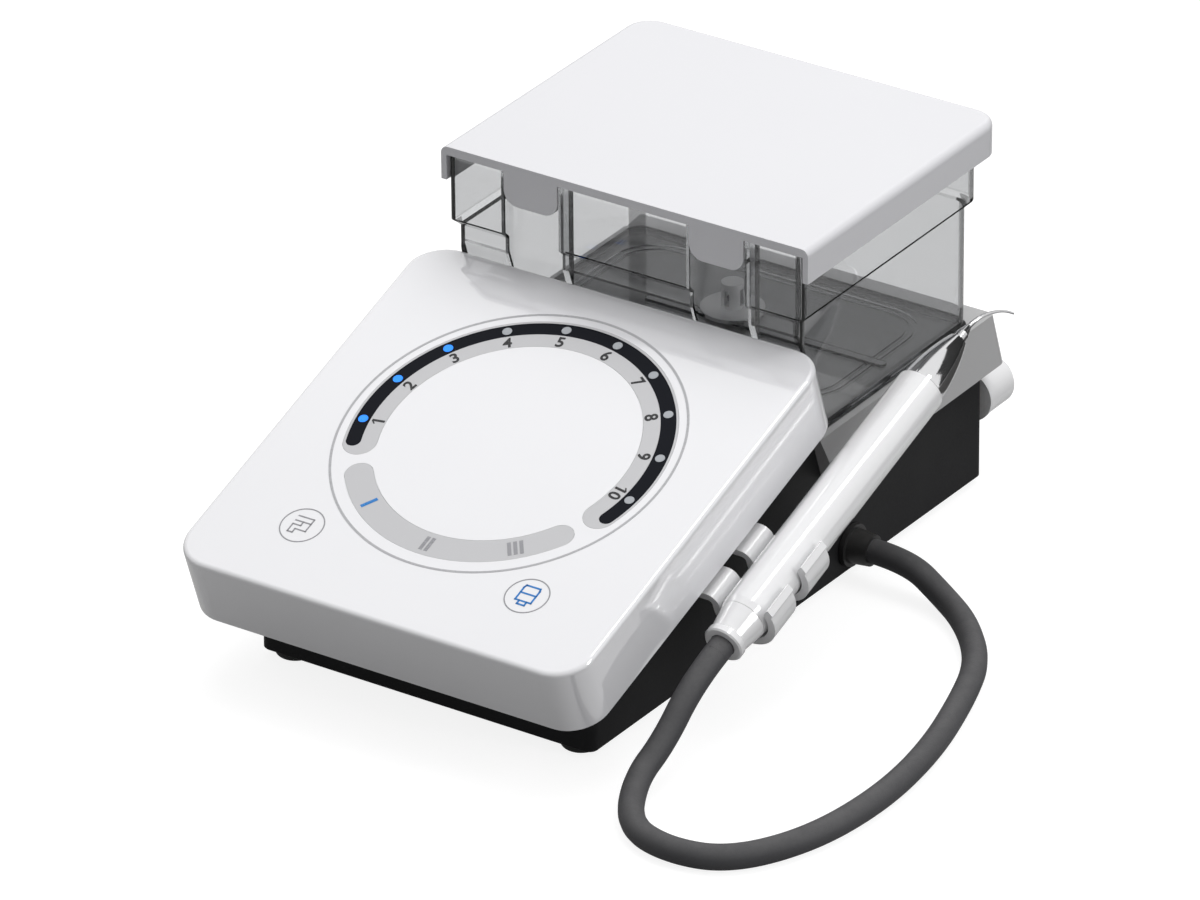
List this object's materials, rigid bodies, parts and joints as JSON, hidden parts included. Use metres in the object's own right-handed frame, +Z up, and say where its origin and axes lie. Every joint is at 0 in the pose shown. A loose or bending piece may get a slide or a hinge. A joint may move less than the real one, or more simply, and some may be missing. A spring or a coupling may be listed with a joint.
{
  "type": "ultrasonic dental scaler",
  "caption": "Table-top ultrasonic scaler: sloping touch panel with a round dial, lidded clear water tank behind, corded handpiece in side hooks.",
  "frame": {"origin": "on the surface the feet stand on, below the centre of the unit's box without its cord; the casing's centre plane is at x = -14 mm", "axes": "+Z up, +Y from the panel's front edge to the rear sockets, +X to the handpiece's side"},
  "size_m": [0.2759, 0.3359, 0.1545],
  "materials": {
    "white_shell": "gloss",
    "white_panel": "gloss",
    "black_base": "matt",
    "grey_deck": "satin",
    "clear_tank": "polished",
    "clear_valve": "polished",
    "grey_print": "gloss",
    "dark_window": "gloss",
    "light_guide": "gloss",
    "rubber": "matt",
    "cord_rubber": "matt",
    "seal_rubber": "matt",
    "circuit_board": "satin",
    "steel": "satin",
    "chrome": "polished",
    "titanium": "satin",
    "ceramic": "matt",
    "handpiece_white": "gloss",
    "black_plastic": "satin",
    "core_steel": "dull",
    "winding": "satin",
    "brass": "satin",
    "hose": "satin",
    "pump_plastic": "satin"
  },
  "bodies": {
    "unit": {"base_housing": "black_base", "front_casing": "white_panel", "casing_floor": "white_shell", "deck_tray": "grey_deck", "rubber_feet": "rubber", "case_screws": "steel", "scale_band": "grey_print", "level_window": "dark_window", "level_lights": "light_guide", "mode_window": "grey_print", "control_board": "circuit_board", "board_screws": "steel", "holder_hook_1": "white_shell", "holder_hook_2": "white_shell", "valve_seat": "grey_deck", "cord_gland": "black_plastic", "handpiece_cord": "cord_rubber", "needle_valve": "brass", "power_inlet": "black_plastic", "switch_frame": "black_plastic", "foot_socket": "black_plastic", "transformer_core": "core_steel", "transformer_winding": "winding", "main_board": "circuit_board", "main_board_screws": "steel", "pump_head": "pump_plastic", "pump_cover": "pump_plastic", "pump_motor": "steel", "inlet_hose": "hose", "outlet_hose": "hose"},
    "tank": {"water_tank": "clear_tank", "tank_valve_body": "clear_valve", "tank_seal": "seal_rubber"},
    "tank_poppet": {"tank_valve_pin": "steel"},
    "lid": {"tank_lid": "white_shell"},
    "knob": {"water_knob": "white_shell", "valve_spindle": "steel"},
    "tail": {"tail_connector": "handpiece_white", "cord_boot": "cord_rubber"},
    "handpiece": {"handpiece_sleeve": "handpiece_white", "nose_cone": "chrome", "horn": "titanium", "horn_seals": "seal_rubber", "piezo_rings": "ceramic", "back_mass": "steel", "stack_bolt": "steel"},
    "tip": {"scaler_tip": "steel"},
    "rocker": {"power_rocker": "black_plastic"},
    "rotor": {"pump_rotor": "pump_plastic"}
  },
  "joints": [
    {"name": "tank_lift", "type": "slide", "parent": "unit", "child": "tank", "axis": [0, 0, 1], "range_m": [0, 0.09]},
    {"name": "poppet_drop", "type": "slide", "parent": "tank", "child": "tank_poppet", "axis": [0, 0, 1], "range_m": [-0.0025, 0]},
    {"name": "lid_lift", "type": "slide", "parent": "tank", "child": "lid", "axis": [0, 0, 1], "range_m": [0, 0.06]},
    {"name": "water_knob_turn", "type": "hinge", "parent": "unit", "child": "knob", "pos_m": [0.0555, 0.1516, 0.0325], "axis": [0, 1, 0], "range_deg": [-150, 150]},
    {"name": "handpiece_lift", "type": "slide", "parent": "unit", "child": "tail", "axis": [-0.0872, -0.3227, 0.9425], "range_m": [0, 0.06]},
    {"name": "handpiece_pull", "type": "slide", "parent": "tail", "child": "handpiece", "axis": [0, 0.9461, 0.3239], "range_m": [0, 0.04]},
    {"name": "tip_turn", "type": "hinge", "parent": "handpiece", "child": "tip", "pos_m": [0.0904, 0.07885, 0.09437], "axis": [0, 0.9461, 0.3239], "range_deg": [0, 360]},
    {"name": "rocker_tilt", "type": "hinge", "parent": "unit", "child": "rocker", "pos_m": [-0.026, 0.1349, 0.03], "axis": [1, 0, 0], "range_deg": [0, 24]},
    {"name": "pump_spin", "type": "hinge", "parent": "unit", "child": "rotor", "pos_m": [0.02, 0.068, 0.027], "axis": [0, 1, 0], "continuous": true}
  ],
  "couplings": [
    {"joint": "poppet_drop", "follows": "tank_lift", "ratio": -0.0277}
  ]
}
